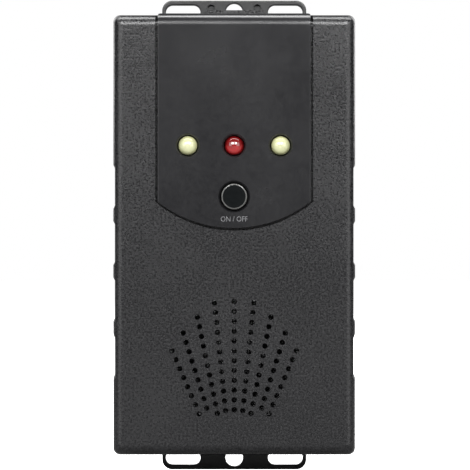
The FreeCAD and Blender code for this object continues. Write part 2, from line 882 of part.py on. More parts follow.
column = "(cell_radius + cell_gap / 2)"
spring_end = {1: "bay_half_height - contact_thickness", -1: "-bay_half_height + contact_thickness"}


def cell(name, x, low, up):
    """An AA cell whose nub points up or down; low is the bottom end of its whole length."""
    body_low = f"({low})" if up else f"({low}) + cell_nub"
    nub_low = f"({low}) + cell_length - cell_nub" if up else f"({low})"
    parts = []
    for radius, start, length in (
        ("cell_radius", body_low, "cell_length - cell_nub"),
        ("cell_nub_radius", nub_low, "cell_nub"),
    ):
        made = document.addObject("Part::Cylinder", fresh("can"))
        parts.append(bind(made, x=x, y="cell_axis", z=start, Radius=radius, Height=length))
    return fuse(parts, name)


# Left column: nubs up, its spring at the bottom. Right column: nubs down, its spring at the top.
left_low = f"({spring_end[-1]} + spring_length)"
right_low = f"({spring_end[-1]})"
cell("cell_lower_left", f"-{column}", left_low, True)
cell("cell_upper_left", f"-{column}", f"{left_low} + cell_length", True)
cell("cell_lower_right", column, right_low, False)
cell("cell_upper_right", column, f"{right_low} + cell_length", False)

contact_span = ("cell_axis - contact_width / 2", "cell_axis + contact_width / 2")
contact_half = "contact_width / 2"
contacts = [
    mid_block(f"2 * {column} + contact_width", contact_span, (spring_end[1], "bay_half_height")),
    block((f"-{column} - {contact_half}", f"-{column} + {contact_half}"), contact_span,
          ("-bay_half_height", spring_end[-1])),
    block((f"{column} - {contact_half}", f"{column} + {contact_half}"), contact_span,
          ("-bay_half_height", spring_end[-1])),
]
group(contacts, "contact_plates")


def spring(x, low):
    """A closed-end coil spring between a contact plate and a cell, wound to its pressed length."""
    wire = number("spring_wire")
    coil = number("spring_radius")
    rise = number("spring_length") - 2 * wire
    path = Part.makeHelix(rise / number("spring_turns"), rise, coil)
    section = Part.Wire(Part.makeCircle(wire, FreeCAD.Vector(coil, 0, 0), FreeCAD.Vector(0, 1, 0)))
    shape = Part.Wire(path).makePipeShell([section], True, True)
    shape.translate(FreeCAD.Vector(number(x), number("cell_axis"), number(low) + wire))
    return shape


springs = document.addObject("Part::Feature", "spring_contacts")
springs.Shape = Part.makeCompound(
    [spring(f"-{column}", spring_end[-1]), spring(column, f"{spring_end[1]} - spring_length")]
)


# ---- circuit board and what is soldered to it -----------------------------------------------------------

board_blank = mid_block("board_width", ("board_front", "board_back"), ("board_bottom", "board_top"))
lead_offsets = [f"({x}) + {side} * led_lead_pitch / 2" for x in led_places.values() for side in (1, -1)]
board_holes = [rod(x, "led_height", "led_lead_radius", "board_back + cut_over", "board_front - cut_over")
               for x in lead_offsets]
board_holes += [rod(x, z, "small_screw_radius + small_screw_fit", "board_back + cut_over",
                    "board_front - cut_over")
                for x, z in board_screw_places]
cut(board_blank, board_holes, "main_board")

for name, x in led_places.items():
    tip = "(panel_face - led_proud)"
    dome = document.addObject("Part::Sphere", fresh("dome"))
    bind(dome, x=x, y=f"{tip} + led_radius", z="led_height", Radius="led_radius")
    stem = rod(x, "led_height", "led_radius", "led_base", f"{tip} + led_radius")
    flange = rod(x, "led_height", "led_flange_radius", "led_base", "led_base - led_flange")
    fuse([dome, stem, flange], name)
lead_back = "board_back + board_gap / 2"
leads = [rod(x, "led_height", "led_lead_radius", lead_back, "led_base") for x in lead_offsets]
group(leads, "led_leads")
spacers = []
for x in led_places.values():
    ring = rod(x, "led_height", "led_flange_radius", "board_front", "led_base")
    bores = [rod(f"({x}) + {side} * led_lead_pitch / 2", "led_height", "led_lead_radius",
                 "board_front + cut_over", "led_base - cut_over") for side in (1, -1)]
    spacers.append(cut(ring, bores))
group(spacers, "led_spacers")

switch_half = "switch_width / 2"
switch_blank = block(
    (f"-{switch_half}", switch_half),
    ("switch_front", "board_front"),
    (f"button_height - {switch_half}", f"button_height + {switch_half}"),
)
switch_bore = rod("0", "button_height", "plunger_radius + plunger_fit",
                  "switch_front + plunger_depth + button_travel + plunger_play", "switch_front - cut_over")
cut(switch_blank, [switch_bore], "push_switch")
rod("0", "button_height", "plunger_radius", "switch_front + plunger_depth", "button_seat", "switch_plunger")

button = document.addObject("PartDesign::Body", "on_off_button")
flange_sketch = sketch_in(button, "button_seat")
circle(flange_sketch, "0", "button_height", "button_flange_radius")
pad(button, flange_sketch, "button_flange")
cap_sketch = sketch_in(button, "button_seat")
circle(cap_sketch, "0", "button_height", "button_radius")
cap_front = "panel_face - button_proud"
cap = pad(button, cap_sketch, f"button_seat - ({cap_front})")
round_edges(button, cap, cap_front, "button_round")


coil_spot = ("coil_x", "coil_z")
coil_front = "(board_front - coil_height)"
coil_back_flange = "board_front - coil_flange"
coil_front_flange = f"{coil_front} + coil_flange"
coil_post = rod(*coil_spot, "coil_post_radius", "board_front", coil_front)
coil_flanges = [
    rod(*coil_spot, "coil_flange_radius", "board_front", coil_back_flange),
    rod(*coil_spot, "coil_flange_radius", coil_front_flange, coil_front),
]
fuse([coil_post] + coil_flanges, "coil_core")
coil_turns = rod(*coil_spot, "coil_turns_radius", coil_back_flange, coil_front_flange)
cut(coil_turns, [rod(*coil_spot, "coil_post_radius", "board_front", coil_front)], "coil_winding")

can = document.addObject("Part::Cylinder", "smoothing_capacitor")
can.Placement.Rotation = ALONG_X
bind(can, x="capacitor_x", y="board_front - capacitor_radius", z="capacitor_z",
     Radius="capacitor_radius", Height="capacitor_length")


def chip(x, z, length, width, legs, name=None):
    """A surface-mount chip: moulded body with legs down both long sides."""
    long_side = (f"{x} - {length} / 2", f"{x} + {length} / 2")
    body_depth = ("board_front - chip_standoff - chip_body", "board_front - chip_standoff")
    pieces = [block(long_side, body_depth, (f"{z} - {width} / 2", f"{z} + {width} / 2"))]
    for place in range(legs):
        centre = f"{x} + ({place} - {(legs - 1) / 2}) * chip_leg_pitch"
        across = (f"{centre} - chip_leg_width / 2", f"{centre} + chip_leg_width / 2")
        for low, high in (
            (f"{z} + {width} / 2", f"{z} + {width} / 2 + chip_leg_length"),
            (f"{z} - {width} / 2 - chip_leg_length", f"{z} - {width} / 2"),
        ):
            pieces.append(block(across, ("board_front - chip_leg_rise", "board_front"), (low, high)))
    return fuse(pieces, name)


chip("0", "controller_height", "controller_length", "controller_width", 7, "controller_chip")
transistors = [
    chip(f"{side} * transistor_spread / 2", "transistor_height", "transistor_length", "transistor_width", 2)
    for side in (-1, 1)
]
group(transistors, "drive_transistors")
small_parts = []
for place in range(8):
    x = f"({place} - 3.5) * resistor_pitch"
    small_parts.append(block(
        (f"{x} - resistor_length / 2", f"{x} + resistor_length / 2"),
        ("board_front - resistor_body", "board_front"),
        ("resistor_height - resistor_width / 2", "resistor_height + resistor_width / 2"),
    ))
group(small_parts, "surface_mount_parts")


# ---- speaker ---------------------------------------------------------------------------------------------

spot = ("0", "speaker_height")
rod(*spot, "speaker_radius + mesh_margin", "mesh_back", "front_inside", "grille_mesh")
cut(
    rod(*spot, "speaker_radius", "speaker_back", "mesh_back"),
    [rod(*spot, "speaker_radius - speaker_wall", "speaker_back + cut_over", "mesh_back - cut_over")],
    "speaker_housing",
)
rim = "speaker_radius - speaker_wall"
cone_back = "mesh_back + cone_depth"
cone_flat = "piezo_radius + cone_margin"
slope_out = taper(*spot, cone_flat, rim, cone_back, "mesh_back + cone_start")
slope_in = taper(*spot, f"{cone_flat} - cone_thickness", f"{rim} - cone_thickness", cone_back,
                 "mesh_back + cone_start")
cone_disc = rod(*spot, cone_flat, f"{cone_back} + cone_thickness", cone_back)
fuse([cut(slope_out, [slope_in]), cone_disc], "speaker_cone")
piezo_face = f"{cone_back} + cone_thickness"
piezo_rear = f"{piezo_face} + piezo_thickness"
rod(*spot, "piezo_radius", piezo_rear, piezo_face, "piezo_element")

ears = [rod(x, z, "small_boss_radius", "retainer_back", "speaker_back") for x, z in retainer_places]
bars = [
    block(("-retainer_ear_x", "retainer_ear_x"), ("speaker_back", "retainer_back"),
          (f"{z} - small_boss_radius", f"{z} + small_boss_radius"))
    for z in (retainer_high, retainer_low)
]
ring_blank = fuse([rod(*spot, "speaker_radius", "retainer_back", "speaker_back")] + ears + bars)
retainer_cuts = [rod(*spot, "speaker_radius - retainer_ring", "retainer_back + cut_over",
                     "speaker_back - cut_over")]
retainer_cuts += [rod(x, z, "small_screw_radius + small_screw_fit", "retainer_back + cut_over",
                      "speaker_back - cut_over")
                  for x, z in retainer_places]
retainer_cuts += [mid_block("retainer_notch", ("speaker_back - cut_over", "retainer_back + cut_over"),
                            ("speaker_height", "0"))]
cut(ring_blank, retainer_cuts, "speaker_retainer")


# ---- wires -----------------------------------------------------------------------------------------------


def wire(points, radius, bend):
    """A round wire along straight runs joined by tangent arcs."""
    corners = [FreeCAD.Vector(*[number(value) for value in point]) for point in points]
    edges = []
    start = corners[0]
    for before, here, after in zip(corners, corners[1:], corners[2:]):
        enter = here + (before - here).normalize() * bend
        leave = here + (after - here).normalize() * bend
        inward = (before - here).normalize() + (after - here).normalize()
        middle = here + inward * bend * (1 - math.sqrt(0.5))
        edges.append(Part.LineSegment(start, enter).toShape())
        edges.append(Part.Arc(enter, middle, leave).toShape())
        start = leave
    edges.append(Part.LineSegment(start, corners[-1]).toShape())
    path = Part.Wire(edges)
    section = Part.Wire(Part.makeCircle(radius, corners[0], corners[1] - corners[0]))
    return path.makePipeShell([section], True, True)


side_run = "(bay_half_width + bay_wall + wire_radius + wire_margin)"
for name, side in (("battery_wire_red", "-1"), ("battery_wire_black", "1")):
    lead = document.addObject("Part::Feature", name)
    route = [
        (f"{side} * (bay_half_width + bay_wall)", "cell_axis", "-bay_half_height + wire_low"),
        (f"{side} * {side_run}", "cell_axis", "-bay_half_height + wire_low"),
        (f"{side} * {side_run}", "cell_axis", "board_bottom + wire_high"),
        (f"{side} * {side_run}", "board_back", "board_bottom + wire_high"),
    ]
    lead.Shape = wire(route, number("wire_radius"), number("wire_bend"))
speaker_leads = document.addObject("Part::Feature", "speaker_wires")
lead_depth = "(board_front + board_back) / 2"
speaker_leads.Shape = Part.makeCompound([
    wire(
        [
            (f"{side} * speaker_wire_pitch / 2", piezo_rear, "speaker_height + speaker_wire_pitch"),
            (f"{side} * speaker_wire_pitch / 2", lead_depth, "speaker_height + speaker_wire_pitch"),
            (f"{side} * speaker_wire_pitch / 2", lead_depth, "board_bottom"),
        ],
        number("speaker_wire_radius"),
        number("speaker_wire_bend"),
    )
    for side in ("-1", "1")
])


# ---- screws ----------------------------------------------------------------------------------------------

group(
    [screw(x, z, "screw_seat", "front_inside + case_screw_reach", "case_screw_radius", "case_screw_head",
           "case_screw_head_depth")
     for x, z in case_screw_places],
    "case_screws",
)
group(
    [screw(x, z, "board_back", "board_front - small_screw_reach", "small_screw_radius", "small_screw_head",
           "small_screw_head_depth")
     for x, z in board_screw_places],
    "board_screws",
)
group(
    [screw(x, z, "retainer_back", "speaker_back - small_screw_reach", "small_screw_radius",
           "small_screw_head", "small_screw_head_depth")
     for x, z in retainer_places],
    "retainer_screws",
)


# ---- check and write -------------------------------------------------------------------------------------

NODES = [
    "mounting_bracket", "front_shell", "control_panel", "back_shell", "shell_seal", "battery_door",
    "cell_lower_left", "cell_upper_left", "cell_lower_right", "cell_upper_right", "contact_plates",
    "spring_contacts", "main_board", "led_white_left", "led_red_centre", "led_white_right", "led_leads",
    "led_spacers", "push_switch", "switch_plunger", "on_off_button", "coil_core", "coil_winding",
    "smoothing_capacitor", "controller_chip", "drive_transistors", "surface_mount_parts", "grille_mesh",
    "speaker_housing", "speaker_cone", "piezo_element", "speaker_retainer", "battery_wire_red",
    "battery_wire_black", "speaker_wires", "case_screws", "board_screws", "retainer_screws",
]

document.recompute()
for made in document.Objects:
    if "Invalid" in made.State or "Error" in made.State:
        raise RuntimeError(f"{made.Name} failed: {made.State}")
    if made.TypeId == "PartDesign::Pocket":
        removed = made.BaseFeature.Shape.Volume - made.Shape.Volume
        if removed < 0.1:
            raise RuntimeError(f"{made.Name} cuts nothing")
os.makedirs("parts", exist_ok=True)
for name in NODES:
    node = document.getObject(name)
    if node.Shape.isNull() or not node.Shape.isValid():
        raise RuntimeError(f"{name} has no valid shape")
    node.Shape.exportStep(f"parts/{name}.step")
    print(f"{name}: {len(node.Shape.Solids)} solids, {node.Shape.Volume:.1f} mm3")
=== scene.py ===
import json
import math

import bmesh
import bpy
from mathutils import Matrix, Vector

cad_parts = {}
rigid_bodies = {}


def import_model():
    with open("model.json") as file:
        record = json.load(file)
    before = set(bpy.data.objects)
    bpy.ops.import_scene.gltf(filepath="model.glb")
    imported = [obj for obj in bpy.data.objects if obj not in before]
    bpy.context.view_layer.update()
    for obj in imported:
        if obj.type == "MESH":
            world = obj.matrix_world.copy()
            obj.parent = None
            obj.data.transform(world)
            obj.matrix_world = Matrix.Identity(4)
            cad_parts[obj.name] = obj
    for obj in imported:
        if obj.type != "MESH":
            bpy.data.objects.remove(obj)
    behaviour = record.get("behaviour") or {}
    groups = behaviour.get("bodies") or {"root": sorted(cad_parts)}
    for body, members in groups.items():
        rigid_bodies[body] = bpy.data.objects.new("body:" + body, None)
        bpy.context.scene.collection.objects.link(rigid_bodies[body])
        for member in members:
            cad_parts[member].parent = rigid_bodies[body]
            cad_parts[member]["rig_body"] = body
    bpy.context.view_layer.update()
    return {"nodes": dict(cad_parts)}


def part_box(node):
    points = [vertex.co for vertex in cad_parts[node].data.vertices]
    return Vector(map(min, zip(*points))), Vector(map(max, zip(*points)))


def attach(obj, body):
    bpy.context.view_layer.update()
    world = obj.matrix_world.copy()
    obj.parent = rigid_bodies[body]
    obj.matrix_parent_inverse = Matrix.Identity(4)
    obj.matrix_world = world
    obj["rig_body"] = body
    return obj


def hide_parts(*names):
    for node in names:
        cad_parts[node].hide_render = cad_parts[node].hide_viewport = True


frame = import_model()
nodes = frame["nodes"]

# ---- Studio ------------------------------------------------------------------------------------------
# The repeller stands upright on its bracket's lower edge on a pale table. Two small softboxes stand close
# on either side of the camera, two wide dim ones further out, and a long one hangs above. Two more light
# the sides and the back. The table and the surroundings look pale, but throw little light on the case.

bracket_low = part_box("mounting_bracket")[0]
front_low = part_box("front_shell")[0]
light_aim = Vector((0, 0, 0))
camera_reach = 0.7
camera_side = 0.0002
view_width = 0.1175
table_drop = 0.0004
table_size = 6.0
table_tone_seen = (0.88, 0.88, 0.88, 1)
table_tone_thrown = (0.16, 0.16, 0.16, 1)
table_glow_seen = 0.92
sky_tone_seen = (1.0, 1.0, 1.0, 1)
sky_tone_thrown = (0.08, 0.08, 0.083, 1)


def link_new(data, name):
    """A new object in the scene, for a mesh, light, camera or text."""
    made = bpy.data.objects.new(name, data)
    bpy.context.scene.collection.objects.link(made)
    return made


def new_material(name):
    """A new material, its node tree and its shader."""
    made = bpy.data.materials.new(name)
    made.use_nodes = True
    return made, made.node_tree, made.node_tree.nodes["Principled BSDF"]


def softbox(name, place, width, height, radiance):
    """A rectangular light that shines evenly from its whole face, turned to the middle of the bracket."""
    light = bpy.data.lights.new(name, "AREA")
    light.shape = "RECTANGLE"
    light.size = width
    light.size_y = height
    light.energy = radiance * math.pi * width * height
    lamp = link_new(light, name)
    lamp.location = place
    lamp.rotation_euler = (light_aim - Vector(place)).to_track_quat("-Z", "Y").to_euler()


def towards(azimuth, elevation, distance):
    """A place seen from the case at an angle to the side of straight ahead, and an angle above it."""
    side, rise = math.radians(azimuth), math.radians(elevation)
    ahead = math.cos(rise) * distance
    return (ahead * math.sin(side), front_low.y - ahead * math.cos(side), math.sin(rise) * distance)


# Each softbox: angle to the side, angle above, distance, width and height of its face, radiance.
for name, azimuth, elevation, distance, width, height, radiance in (
    ("left_box", -20, 31, 0.62, 0.21, 0.21, 31),
    ("right_box", 20, 31, 0.62, 0.21, 0.21, 31),
    ("left_wall", -46, 15, 1.3, 0.8, 1.0, 2.6),
    ("right_wall", 46, 15, 1.3, 0.8, 1.0, 2.6),
    ("top_box", 0, 97, 1.0, 1.5, 0.36, 12),
    ("left_rear", -148, 22, 1.3, 0.8, 0.9, 2.5),
    ("right_rear", 148, 22, 1.3, 0.8, 0.9, 2.5),
):
    softbox(name, towards(azimuth, elevation, distance), width, height, radiance)

table_mesh = bpy.data.meshes.new("table")
corners = [(x * table_size / 2, y * table_size / 2, 0) for x, y in ((-1, -1), (1, -1), (1, 1), (-1, 1))]
table_mesh.from_pydata(corners, [], [(0, 1, 2, 3)])
table = link_new(table_mesh, "table")
table.location = (0, 0, bracket_low.z - table_drop)
table_paint, table_tree, table_shader = new_material("table")
table_shader.inputs["Roughness"].default_value = 0.9
table_shader.inputs["Specular IOR Level"].default_value = 0.1
table_shader.inputs["Emission Color"].default_value = (1, 1, 1, 1)
table_path = table_tree.nodes.new("ShaderNodeLightPath")
lifted = table_tree.nodes.new("ShaderNodeMath")
lifted.operation = "MULTIPLY"
lifted.inputs[1].default_value = table_glow_seen
table_tree.links.new(table_path.outputs["Is Camera Ray"], lifted.inputs[0])
table_tone = table_tree.nodes.new("ShaderNodeMix")
table_tone.data_type = "RGBA"
table_tone.inputs[6].default_value = table_tone_thrown
table_tone.inputs[7].default_value = table_tone_seen
table_tree.links.new(table_path.outputs["Is Camera Ray"], table_tone.inputs[0])
table_tree.links.new(table_tone.outputs[2], table_shader.inputs["Base Color"])
table_tree.links.new(lifted.outputs[0], table_shader.inputs["Emission Strength"])
table_mesh.materials.append(table_paint)

world = bpy.data.worlds.new("studio")
bpy.context.scene.world = world
world.use_nodes = True
sky = world.node_tree
sky_path = sky.nodes.new("ShaderNodeLightPath")
shade = sky.nodes.new("ShaderNodeMix")
shade.data_type = "RGBA"
shade.inputs[6].default_value = sky_tone_thrown
shade.inputs[7].default_value = sky_tone_seen
sky.links.new(sky_path.outputs["Is Camera Ray"], shade.inputs[0])
sky.links.new(shade.outputs[2], sky.nodes["Background"].inputs["Color"])

lens = bpy.data.cameras.new("camera")
lens.sensor_width = 36
lens.lens = lens.sensor_width * camera_reach / view_width
camera = link_new(lens, "camera")
camera.location = (camera_side, front_low.y - camera_reach, 0)
camera.rotation_euler = (math.radians(90), 0, 0)
bpy.context.scene.camera = camera
bpy.context.scene.view_settings.view_transform = "Standard"

# ---- Wall bracket ------------------------------------------------------------------------------------
# A flat black ABS plate with a satin face and softened edges, screwed to a wall or tied to a pipe through
# the slots at its ends. Four pegs on it hold the case.

crease = math.cos(math.radians(28))
merge_gap = 2e-6
shortest_edge = 1e-7
mask_low, mask_high = 0.32, 0.68


def finished_mesh(bm, name):
    """Turn worked geometry into a smooth-shaded mesh. Each corner is shaded by the faces there that lie
    close to its own plane, so that flats stay flat and roundings stay round."""
    bm.normal_update()
    bm.faces.index_update()
    areas = [face.calc_area() for face in bm.faces]
    shading = []
    for face in bm.faces:
        for corner in face.loops:
            lean = Vector()
            for other in corner.vert.link_faces:
                if other.normal.dot(face.normal) > crease:
                    lean += other.normal * areas[other.index]
            shading.append(lean.normalized())
    mesh = bpy.data.meshes.new(name)
    bm.to_mesh(mesh)
    bm.free()
    mesh.shade_smooth()
    mesh.normals_split_custom_set(shading)
    return mesh


def moulding(node, name):
    """A merged, smooth-shaded copy of a piece as it was designed."""
    bm = bmesh.new()
    bm.from_mesh(nodes[node].data)
    bmesh.ops.remove_doubles(bm, verts=bm.verts, dist=merge_gap)
    bmesh.ops.dissolve_degenerate(bm, dist=shortest_edge, edges=bm.edges)
    return link_new(finished_mesh(bm, name), name)


def fit(piece, node, material):
    """Give a piece its material, its body and its place in the record."""
    piece.data.materials.clear()
    piece.data.materials.append(material)
    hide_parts(node)
    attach(piece, nodes[node]["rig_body"])


def carry(node, name, material):
    """Carry a piece over as it was designed, under its own name and in its own material."""
    fit(moulding(node, name), node, material)


def group_tree(name, inputs, outputs):
    """A shader node group with number inputs and named number outputs."""
    tree = bpy.data.node_groups.new(name, "ShaderNodeTree")
    for label, value in inputs.items():
        socket = tree.interface.new_socket(label, in_out="INPUT", socket_type="NodeSocketFloat")
        socket.default_value = value
    for label in outputs:
        tree.interface.new_socket(label, in_out="OUTPUT", socket_type="NodeSocketFloat")
    return tree, tree.nodes.new("NodeGroupInput"), tree.nodes.new("NodeGroupOutput")


def reckon(tree, operation, first, second):
    """A Math node between two numbers or sockets."""
    made = tree.nodes.new("ShaderNodeMath")
    made.operation = operation
    for place, value in enumerate((first, second)):
        if isinstance(value, (int, float)):
            made.inputs[place].default_value = value
        else:
            tree.links.new(value, made.inputs[place])
    return made.outputs[0]


def noise(tree, scale, detail, rough):
    """A noise texture on the piece's own coordinates; scale is a number or a socket."""
    where = tree.nodes.new("ShaderNodeTexCoord")
    made = tree.nodes.new("ShaderNodeTexNoise")
    made.inputs["Detail"].default_value = detail
    made.inputs["Roughness"].default_value = rough
    tree.links.new(where.outputs["Object"], made.inputs["Vector"])
    if isinstance(scale, (int, float)):
        made.inputs["Scale"].default_value = scale
    else:
        tree.links.new(scale, made.inputs["Scale"])
    return made.outputs["Fac"]


# Spark grain: small rounded pits over a softer swell, with a speckle for the tone.
grain, grain_in, grain_out = group_tree("spark_grain", {"Grain": 2400.0}, ["Height", "Speckle"])
pits = noise(grain, grain_in.outputs["Grain"], 3.0, 0.65)
swell = noise(grain, reckon(grain, "MULTIPLY", grain_in.outputs["Grain"], 0.27), 1.0, 0.5)
heights = reckon(grain, "ADD", pits, reckon(grain, "MULTIPLY", swell, 0.35))
grain.links.new(heights, grain_out.inputs["Height"])
grain.links.new(pits, grain_out.inputs["Speckle"])

# Handling: a slow drift of gloss in broad patches, where the piece has been held.
handling, handling_in, handling_out = group_tree("handling", {"Patch": 45.0}, ["Drift"])
handling.links.new(noise(handling, handling_in.outputs["Patch"], 4.0, 0.65), handling_out.inputs["Drift"])


def between(tree, factor, low, high):
    """Map a noise mask onto a range of values."""
    made = tree.nodes.new("ShaderNodeMapRange")
    made.inputs["From Min"].default_value = mask_low
    made.inputs["From Max"].default_value = mask_high
    made.inputs["To Min"].default_value = low
    made.inputs["To Max"].default_value = high
    tree.links.new(factor, made.inputs["Value"])
    return made.outputs["Result"]


def blended(tree, factor, low, high):
    """Mix two colours by a 0 to 1 mask."""
    made = tree.nodes.new("ShaderNodeMix")
    made.data_type = "RGBA"
    for place, value in ((6, low), (7, high)):
        if isinstance(value, tuple):
            made.inputs[place].default_value = (*value, 1)
        else:
            tree.links.new(value, made.inputs[place])
    tree.links.new(factor, made.inputs[0])
    return made.outputs[2]


def placed(tree, group, **values):
    """A shader node group with its own values."""
    made = tree.nodes.new("ShaderNodeGroup")
    made.node_tree = group
    for label, value in values.items():
        made.inputs[label].default_value = value
    return made


def bumped(tree, shader, height, distance, strength):
    """Raise a shader's surface by a height."""
    bump = tree.nodes.new("ShaderNodeBump")
    bump.inputs["Distance"].default_value = distance
    bump.inputs["Strength"].default_value = strength
    tree.links.new(height, bump.inputs["Height"])
    tree.links.new(bump.outputs["Normal"], shader.inputs["Normal"])


def finish(name, dark, light, rough, grain_scale, depth, strength, patch=45.0, sparkle=0.0, **constants):
    """A finish with a speckled tone, a drifting gloss and a grain that is in the surface. Sparkle is how
    much rougher the grain's light spots are than its dark ones."""
    made, tree, shader = new_material(name)
    for label, value in constants.items():
        shader.inputs[label.replace("_", " ")].default_value = value
    texture = placed(tree, grain, Grain=grain_scale)
    drift = placed(tree, handling, Patch=patch)
    mask = between(tree, texture.outputs["Speckle"], 0.0, 1.0)
    tree.links.new(blended(tree, mask, dark, light), shader.inputs["Base Color"])
    held = between(tree, drift.outputs["Drift"], *rough)
    gloss = reckon(tree, "ADD", held, reckon(tree, "MULTIPLY", mask, sparkle))
    tree.links.new(gloss, shader.inputs["Roughness"])
    bumped(tree, shader, texture.outputs["Height"], depth, strength)
    return made


bracket_abs = finish(
    "bracket_abs", (0.0060, 0.0060, 0.0062), (0.0110, 0.0110, 0.0112), (0.30, 0.38), 1500, 0.00002, 0.6
)
carry("mounting_bracket", "wall_bracket", bracket_abs)

# ---- Case halves and battery door --------------------------------------------------------------------
# The two case halves and the sliding door are black ABS from a spark-eroded tool, which leaves a fine even
# grain. The halves are screwed together from behind over a foam seal, and the door slides in rails.

case_abs = finish(
    "grained_abs", (0.0010, 0.0010, 0.0014), (0.0150, 0.0150, 0.0160), (0.18, 0.24), 2000, 0.00006, 1.0,
    sparkle=0.16
)
for node, name in (
    ("front_shell", "case_front"), ("back_shell", "case_back"), ("battery_door", "door_cover")
):
    carry(node, name, case_abs)

# ---- Light panel -------------------------------------------------------------------------------------
# A smooth black ABS cover, polished in the tool, glued into a seat in the front half. It folds over the top
# edge and stands half a millimetre proud, with a fine gap all round.

panel_abs = finish(
    "smooth_abs", (0.0050, 0.0050, 0.0058), (0.0095, 0.0095, 0.0103), (0.22, 0.28), 1100, 0.000012, 0.3
)
carry("control_panel", "light_panel", panel_abs)

# ---- Shell seal --------------------------------------------------------------------------------------
# A frame of closed-cell foam cord in a groove round the rim of the back half, squeezed as the screws go in.

seal_foam = finish("seal_foam", (0.012, 0.012, 0.012), (0.06, 0.06, 0.06), (0.85, 0.95), 4200, 0.0001, 0.8)
carry("shell_seal", "foam_seal", seal_foam)

# ---- Lights ------------------------------------------------------------------------------------------
# Three 5 mm lamps: a clear epoxy body with a round lens and a flange, cast round a cup of pale phosphor in
# the outer two and dyed red in the middle one. They stand on nylon spacers and are soldered to the board.

lathe_steps = 48


def lathed(name, centre, profile, steps=lathe_steps):
    """Turn (radius, depth) points about a front-to-back axis. Each point keeps how far out it stands from the
    axis and how far up it stands, as shares of the widest radius, for patterns and painted light that follow
    the shape."""
    widest = max(radius for radius, _ in profile)
    bm = bmesh.new()
    rings = []
    for radius, depth in profile:
        if radius == 0:
            rings.append([bm.verts.new((centre[0], depth, centre[1]))] * steps)
            continue
        ring = []
        for place in range(steps):
            turn = 2 * math.pi * place / steps
            x = centre[0] + radius * math.cos(turn)
            ring.append(bm.verts.new((x, depth, centre[1] + radius * math.sin(turn))))
        rings.append(ring)
    for near, far in zip(rings, rings[1:]):
        for place in range(steps):
            after = (place + 1) % steps
            loop = [near[place], near[after], far[after], far[place]]
            corner_points = [point for spot, point in enumerate(loop) if point not in loop[:spot]]
            bm.faces.new(corner_points)
    bmesh.ops.recalc_face_normals(bm, faces=bm.faces)
    mesh = finished_mesh(bm, name)
    reach = mesh.attributes.new("reach", "FLOAT", "POINT")
    rise = mesh.attributes.new("rise", "FLOAT", "POINT")
    for place, point in enumerate(mesh.vertices):
        out = math.hypot(point.co.x - centre[0], point.co.z - centre[1])
        reach.data[place].value = out / widest
        rise.data[place].value = 0.5 + 0.5 * (point.co.z - centre[1]) / widest
    return link_new(mesh, name)


def arc(radius, centre_radius, centre_depth, start, end, steps):
    """Points round a bend of a profile, from one angle to another; 0 is straight out from the axis."""
    points = []
    for place in range(steps + 1):
        turn = math.radians(start + (end - start) * place / steps)
        points.append((centre_radius + radius * math.cos(turn), centre_depth - radius * math.sin(turn)))
    return points


def attribute(tree, name):
    """A value that the piece's own points hold."""
    made = tree.nodes.new("ShaderNodeAttribute")
    made.attribute_name = name
    return made.outputs["Fac"]


def ramped(tree, factor, stops):
    """A colour ramp through (place, colour) stops."""
    made = tree.nodes.new("ShaderNodeValToRGB")
    ramp = made.color_ramp
    while len(ramp.elements) < len(stops):
        ramp.elements.new(0.5)
    for element, (place, tone) in zip(ramp.elements, stops):
        element.position = place
        element.color = (*tone, 1)
    tree.links.new(factor, made.inputs["Fac"])
    return made.outputs["Color"]


def multiplied(tree, first, second):
    """One colour or tone multiplied by another."""
    made = tree.nodes.new("ShaderNodeMix")
    made.data_type = "RGBA"
    made.blend_type = "MULTIPLY"
    made.inputs[0].default_value = 1.0
    tree.links.new(first, made.inputs[6])
    tree.links.new(second, made.inputs[7])
    return made.outputs[2]


def lens_epoxy(name, ring_stops, top, bottom):
    """Cast epoxy under a clear skin: rings from the cup inside, and painted light, the lower half painted
    lighter than the top where light gathers in the lens.
    """
    made, tree, shader = new_material(name)
    shader.inputs["Coat Weight"].default_value = 1.0
    shader.inputs["Coat Roughness"].default_value = 0.05
    cloud = between(tree, noise(tree, 900, 3.0, 0.6), -0.05, 0.05)
    rings = ramped(tree, reckon(tree, "ADD", attribute(tree, "reach"), cloud), ring_stops)
    # Painted light: the tone is lighter towards the bottom of the lens and darker towards its top.
    height = reckon(tree, "ADD", attribute(tree, "rise"), cloud)
    painted_lower_light = ramped(tree, height, [(0.30, bottom), (0.56, top)])
    tree.links.new(multiplied(tree, rings, painted_lower_light), shader.inputs["Base Color"])
    tree.links.new(between(tree, noise(tree, 600, 2.0, 0.5), 0.12, 0.2), shader.inputs["Roughness"])
    bumped(tree, shader, noise(tree, 350, 2.0, 0.5), 0.00002, 0.25)
    return made


